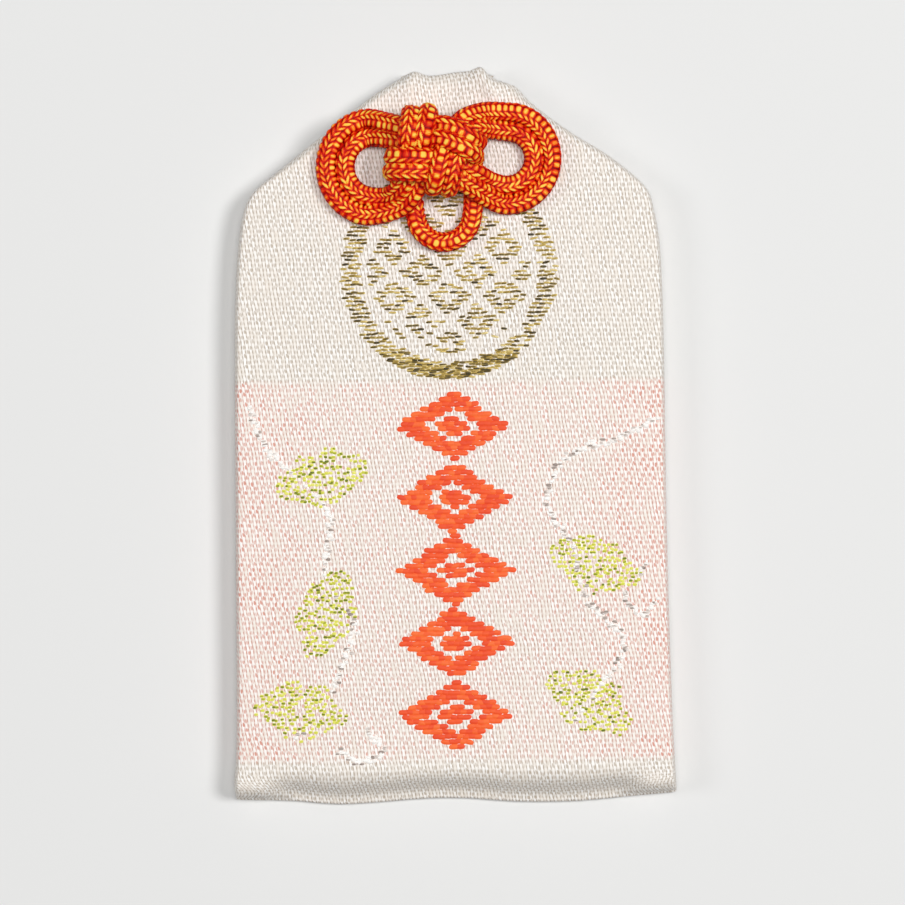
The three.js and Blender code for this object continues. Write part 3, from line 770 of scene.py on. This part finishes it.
def float_piece(name, middles, length, width, rise, core, material):
    """Small arched patches laid on the cloth, each with its own length and tone, with painted shade in its
    middle and a painted highlight towards its rim and ends.

    With s along a float and t across it, from -1 to 1, the patch is (1 - s^4)(1 - t^2) high, and it narrows
    towards its ends.
    """
    s = np.linspace(-1, 1, 7)[None, None, :]
    t = np.linspace(-1, 1, 5)[None, :, None]
    own_length = length * draw.uniform(*float_lengths, len(middles))[:, None, None]
    x = middles[:, 0, None, None] + own_length / 2 * s + 0 * t
    tilt = draw.normal(0, float_tilt, len(middles))[:, None, None]
    half_width = width / 2 * np.sqrt(1 - end_taper * s**4)
    y = middles[:, 1, None, None] + half_width * t + tilt * own_length / 2 * s
    z = front_height(x, y) + rise * ((1 - s**4) * (1 - t**2) - float_bed)
    own_tone = draw.random(len(middles))[:, None, None]
    # The core share paints shade into the middle of each float and a highlight at its sides and ends
    rim = np.abs(t) + (1 - np.abs(t)) * s**4
    tone = (own_tone * (1 - core) + rim * core).reshape(-1)
    piece = grid_object(name, np.stack([x, y, z], axis=-1), tone=tone)
    piece.data.materials.append(material)
    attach(piece, "pouch")
    return piece


def floss(name, tones, roughness, metal=0):
    """Weft yarn that differs in tone from float to float and a little along each."""
    material, tree, shader = new_material(name, roughness)
    own = add_node(tree, "ShaderNodeAttribute", output=2, attribute_name="tone")
    place = add_node(tree, "ShaderNodeTexCoord", output=3)
    streaks = add_node(tree, "ShaderNodeMapping", {"Vector": place, "Scale": fibre_scale})
    fibre = add_node(tree, "ShaderNodeTexNoise", {"Vector": streaks, "Scale": 1, "Detail": 2})
    centred = add_node(tree, "ShaderNodeMath", {0: fibre, 1: 0.5}, operation="SUBTRACT")
    mottled = add_node(tree, "ShaderNodeMath", {0: centred, 1: own}, operation="ADD")
    tone = add_node(tree, "ShaderNodeValToRGB", {0: mottled})
    set_ramp(tone, tones)
    bump = add_node(tree, "ShaderNodeBump", {"Height": fibre, "Distance": 0.03 * mm, "Strength": 0.4})
    tree.links.new(tone, shader.inputs["Base Color"])
    tree.links.new(bump, shader.inputs["Normal"])
    shader.inputs["Metallic"].default_value = metal
    return material


gold_tones = [(0.1, "#2E2712"), (0.32, "#6F5D27"), (0.52, "#BE9F48"), (0.75, "#E2CE8A"), (1, "#F6EFD8")]
vermilion_tones = [(0, "#EA4208"), (0.5, "#F5540F"), (1, "#FA6C24")]
green_tones = [(0.12, "#5F6C10"), (0.28, "#A9AE2A"), (0.48, "#DFDF4E"), (1, "#F6F292")]
white_tones = [(0.05, "#978880"), (0.2, "#BFB0A7"), (0.34, "#F2EAE3"), (0.5, "#FFFCF8")]
gold_thread = floss("gold_lame", gold_tones, 0.38, metal=0.3)
vermilion_floss = floss("vermilion_floss", vermilion_tones, 0.6)
green_floss = floss("green_floss", green_tones, 0.55)
white_floss = floss("white_floss", white_tones, 0.45)

# Gold: a ring filled with a lattice of small lozenges, each with an open eye
ring_middle = (-0.16, 16.7)
ring_inner, ring_outer = 9.2, 10.95
lattice_cell = (5.6, 5)
lattice_field = 8.2
lattice_eye, lattice_lozenge = 0.24, 0.77
dense_share = 0.88


def ring_and_lattice(x, y):
    """Where gold is woven: between two circles, and inside them in lozenges that stand in staggered rows.

    The rows are half a cell apart. With u and v in half cells from the middle of a lozenge, n = |u| + |v|,
    and gold lies where n is between the sizes of the eye and of the lozenge.
    """
    x, y = x - ring_middle[0], y - ring_middle[1]
    reach = np.hypot(x, y)
    u = 2 * x / lattice_cell[0]
    v = 2 * y / lattice_cell[1]
    along, aside = (u + v) % 2 - 1, (u - v) % 2 - 1
    n = np.maximum(np.abs(along), np.abs(aside))
    lattice = (n > lattice_eye) & (n < lattice_lozenge)
    return (reach > ring_inner) & (reach < ring_outer) | lattice & (reach < lattice_field)


def ring_bottom(x, y):
    """The lowest part of the ring, where gold is woven in twice as many rows."""
    return ring_and_lattice(x, y) & (y < ring_middle[1] - dense_share * ring_inner)


gold_weave = {"length": 0.62 * mm, "row_pitch": 0.42 * mm, "stagger": 0.37, "stray": 0.05 * mm}
gold_places = np.concatenate([
    float_places(ring_and_lattice, (-12 * mm, 5 * mm), (12 * mm, 28 * mm), kept=0.92, **gold_weave),
    float_places(ring_bottom, (-12 * mm, 5.21 * mm), (12 * mm, 9 * mm), kept=0.9, **gold_weave),
])
gold_float = {"length": 0.82 * mm, "width": 0.29 * mm, "rise": 0.09 * mm, "core": 0.5}
gold_figure = float_piece("gold_figure", gold_places, material=gold_thread, **gold_float)

# Vermilion: a column of five nested lozenges with stepped edges
lozenge_count = 5
lozenge_pitch = 7.4
lozenge_top = (0.1, 1)
lozenge_half = (5.8, 3.5)
core_size, frame_inner, frame_outer = 0.32, 0.52, 1.02


def lozenges(x, y):
    """Where vermilion is woven: a small core in a broad frame, by n = |x| / a + |y| / b about each middle."""
    step = np.clip(np.round((lozenge_top[1] - y) / lozenge_pitch), 0, lozenge_count - 1)
    x, y = x - lozenge_top[0], y - lozenge_top[1] + step * lozenge_pitch
    n = np.abs(x) / lozenge_half[0] + np.abs(y) / lozenge_half[1]
    return (n < core_size) | (n > frame_inner) & (n < frame_outer)


low, high = (-7 * mm, -33.3 * mm), (7 * mm, 5.3 * mm)
vermilion_weave = {"length": 0.6 * mm, "row_pitch": 0.5 * mm, "stagger": 0.5, "kept": 1, "stray": 0.03 * mm}
vermilion_places = float_places(lozenges, low, high, **vermilion_weave)
vermilion_float = {"length": 1.05 * mm, "width": 0.6 * mm, "rise": 0.08 * mm, "core": 0}
vermilion_figure = float_piece(
    "vermilion_figure", vermilion_places, material=vermilion_floss, **vermilion_float
)

# Green: fan leaves with a scalloped rim, each spreading from the end of its stem in one direction
fan_radius = 6.8
fan_spread = math.radians(60)
rib_waves, rib_width = 6, 0.9
rim_dent, rim_drop = 0.04, 0.1
stem_gap, seam_gap = 0.7, 0.3 * mm
fans = [(-12.4, -7.8, 105), (-9.6, -19.4, 160), (-16.4, -31.6, 80), (13.2, -16.8, 70), (11.6, -30.4, 55)]


def fan_leaves(x, y):
    """Where green is woven: sectors of a circle, cut in four by open ribs that dent the rim."""
    covered = np.zeros(x.shape, bool)
    for stem_x, stem_y, degrees in fans:
        reach = np.hypot(x - stem_x, y - stem_y)
        turn = (np.arctan2(y - stem_y, x - stem_x) - math.radians(degrees) + np.pi) % (2 * np.pi) - np.pi
        dent = rim_dent * (1 + np.cos(2 * rib_waves * turn))
        rim = fan_radius * (1 - dent - rim_drop * (turn / fan_spread) ** 2)
        rib = np.abs(np.sin(rib_waves * turn)) * reach < rib_width
        covered |= (reach < rim) & (reach > stem_gap) & (np.abs(turn) < fan_spread) & ~rib
    return covered & (inwards(x * mm, y * mm) > seam_gap)


low, high = (-22 * mm, -34 * mm), (22 * mm, 5 * mm)
green_weave = {"length": 0.46 * mm, "row_pitch": 0.42 * mm, "stagger": 0.43, "kept": 0.92, "stray": 0.09 * mm}
green_places = float_places(fan_leaves, low, high, **green_weave)
green_float = {"length": 0.44 * mm, "width": 0.34 * mm, "rise": 0.09 * mm, "core": 0.45}
green_figure = float_piece("green_figure", green_places, material=green_floss, **green_float)

# White: two vines of raised silk that join the stems, and a curl beside each
left_vine = [
    (-20.8, 3.2), (-19, -1.2), (-15.2, -4.6), (-12.6, -8.4), (-13, -13.6), (-10.4, -19), (-12.4, -25.6),
    (-16.2, -31)
]
right_vine = [
    (20.8, 1.4), (16.4, -0.6), (11.6, -2.4), (9.6, -6.8), (12.2, -11.4), (13.4, -16.6), (17.4, -21.4),
    (12, -29.2)
]
left_curl = [(-9.2, -30), (-7.4, -32.2), (-9.6, -33.4), (-12, -32.2)]
right_curl = [(19.6, -13.4), (17.6, -16.4), (19.4, -18.6), (20.8, -17)]
vine_step, vine_stray = 0.2 * mm, 0.18 * mm

vine_places = np.concatenate([
    smooth_line(np.array([(x, y, 0) for x, y in vine]) * mm, vine_step)[:, :2]
    for vine in (left_vine, right_vine, left_curl, right_curl)
])
vine_places += draw.normal(0, vine_stray, vine_places.shape)
vine_places = vine_places[~fan_leaves(*(vine_places / mm).T)]
white_float = {"length": 0.55 * mm, "width": 0.42 * mm, "rise": 0.18 * mm, "core": 0.3}
white_figure = float_piece("white_figure", vine_places, material=white_floss, **white_float)

# The lining: thin bonded cloth fused to the inside of the strip, front and back, and cut short of its seams
lining_thickness, lining_gap, lining_inset = 0.25 * mm, 0.12 * mm, 2 * mm
lining_low, lining_high = -33.6 * mm, 34.4 * mm

lining_y = np.linspace(lining_low, lining_high, 90)[:, None]
lining_left = left_at(lining_y) + lining_inset
lining_x = lining_left + (right_at(lining_y) - lining_inset - lining_left) * np.linspace(0, 1, 56)
lining_y = np.broadcast_to(lining_y, lining_x.shape)
under_front = front_height(lining_x, lining_y) - cloth_thickness - lining_gap
over_back = back_height(lining_x, lining_y) + cloth_thickness + lining_gap
front_lining = grid_object("front_lining", np.stack([lining_x, lining_y, under_front], axis=2))
back_lining = grid_object("back_lining", np.stack([lining_x, lining_y, over_back], axis=2)[::-1])

lining_cloth, tree, shader = new_material("bonded_lining_cloth", 0.85)
place = add_node(tree, "ShaderNodeTexCoord", output=3)
weave = {"Vector": place, "Scale": 900}
warp = add_node(tree, "ShaderNodeTexWave", weave, output=1, bands_direction="X")
weft = add_node(tree, "ShaderNodeTexWave", weave, output=1, bands_direction="Y")
crossing = add_node(tree, "ShaderNodeMath", {0: warp, 1: weft}, operation="MULTIPLY")
tone = add_node(tree, "ShaderNodeValToRGB", {0: crossing})
set_ramp(tone, [(0, "#D9D4C8"), (1, "#F4F1EA")])
bump = add_node(tree, "ShaderNodeBump", {"Height": crossing, "Distance": 0.05 * mm})
tree.links.new(tone, shader.inputs["Base Color"])
tree.links.new(bump, shader.inputs["Normal"])
for piece, node in ((front_lining, "lining_front"), (back_lining, "lining_back")):
    thick = piece.modifiers.new("lining_thickness", "SOLIDIFY")
    thick.thickness = lining_thickness
    thick.offset = -1
    piece.data.materials.append(lining_cloth)
    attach(piece, "pouch")
    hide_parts(node)

# The seams: one spun thread down each side in running stitches, up and down between the two layers of cloth
thread_width = 0.4 * mm
stitch_length = 2.4 * mm
seam_inset = 1 * mm
thread_middle, stitch_rise = 0.75 * mm, 0.12 * mm
thread_low, thread_high, thread_step = -33 * mm, 20 * mm, 0.2 * mm
thread_sides = 8

spun_thread, tree, shader = new_material("spun_thread", 0.7)
place = add_node(tree, "ShaderNodeTexCoord", output=3)
spin = {"Vector": place, "Scale": 700, "Distortion": 2}
twist = add_node(tree, "ShaderNodeTexWave", spin, output=1, bands_direction="DIAGONAL")
tone = add_node(tree, "ShaderNodeValToRGB", {0: twist})
set_ramp(tone, [(0, "#D8CCC0"), (1, "#F6EFE6")])
tree.links.new(tone, shader.inputs["Base Color"])

thread_y = np.arange(thread_low, thread_high, thread_step)
thread_z = thread_middle + stitch_rise * np.sin(2 * np.pi * thread_y / stitch_length)
thread_turn = np.linspace(0, 2 * np.pi, thread_sides, endpoint=False)
for name, node, thread_x in (
    ("left_thread", "side_seam_left", left_at(thread_y) + seam_inset),
    ("right_thread", "side_seam_right", right_at(thread_y) - seam_inset),
):
    ring_x = thread_x[:, None] + thread_width / 2 * np.cos(thread_turn)
    ring_z = thread_z[:, None] - thread_width / 2 * np.sin(thread_turn)
    ring_y = np.broadcast_to(thread_y[:, None], ring_x.shape)
    thread = grid_object(name, np.stack([ring_x, ring_y, ring_z], axis=2), closed_across=True, capped=True)
    thread.data.materials.append(spun_thread)
    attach(thread, "pouch")
    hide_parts(node)

# The insert: a grey board, a sheet of folded paper, and a planed slip of wood inside the paper
insert_finishes = [
    ("insert_board", "pressed_board", 0.9, (700, 700, 700), [(0.3, "#BDB49F"), (0.7, "#DAD3C2")]),
    ("paper_sleeve", "washi_paper", 0.85, (1400, 120, 600), [(0.3, "#EDE9DE"), (0.7, "#FBF9F3")]),
    ("talisman_slip", "planed_cypress", 0.6, (1500, 40, 1500), [(0.3, "#C79F6B"), (0.7, "#E3C699")]),
]
for node, name, roughness, grain_scale, tones in insert_finishes:
    material, tree, shader = new_material(name, roughness)
    place = add_node(tree, "ShaderNodeTexCoord", output=3)
    stretched = add_node(tree, "ShaderNodeMapping", {"Vector": place, "Scale": grain_scale})
    grain = add_node(tree, "ShaderNodeTexNoise", {"Vector": stretched, "Scale": 1, "Detail": 3})
    tone = add_node(tree, "ShaderNodeValToRGB", {0: grain})
    set_ramp(tone, tones)
    bump = add_node(tree, "ShaderNodeBump", {"Height": grain, "Distance": 0.03 * mm, "Strength": 0.4})
    tree.links.new(tone, shader.inputs["Base Color"])
    tree.links.new(bump, shader.inputs["Normal"])
    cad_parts[node].material_slots[0].material = material

# The floor: a pale, matt table top under a white ceiling light, with a soft lamp on each side. Each lamp is
# a disk, given by its breadth, its power in watts and its place.
floor_size = 3
floor = grid_object("floor", np.array([[[-1, -1, 0], [1, -1, 0]], [[-1, 1, 0], [1, 1, 0]]]) * floor_size / 2)
table, tree, shader = new_material("matt_white_laminate", 0.7)
shader.inputs["Base Color"].default_value = linear("#E6E6E5")
floor.data.materials.append(table)

lamps = [
    ("right_softbox", 0.4, 8.2, (0.66, 0.16, 1.1)),
    ("left_softbox", 0.5, 2.9, (-1, 0.1, 0.9)),
    ("ceiling_light", 0.5, 5.1, (0, 0.1, 1.1)),
]
for name, size, energy, place in lamps:
    lamp = bpy.data.objects.new(name, bpy.data.lights.new(name, "AREA"))
    lamp.data.shape = "DISK"
    lamp.data.size = size
    lamp.data.energy = energy
    lamp.location = place
    lamp.rotation_euler = (-lamp.location).to_track_quat("-Z", "Y").to_euler()
    bpy.context.scene.collection.objects.link(lamp)

world = bpy.data.worlds.new("white_room")
world.use_nodes = True
world.node_tree.nodes["Background"].inputs["Color"].default_value = (1, 1, 1, 1)
world.node_tree.nodes["Background"].inputs["Strength"].default_value = 0.1
bpy.context.scene.world = world
bpy.context.scene.view_settings.view_transform = "Standard"
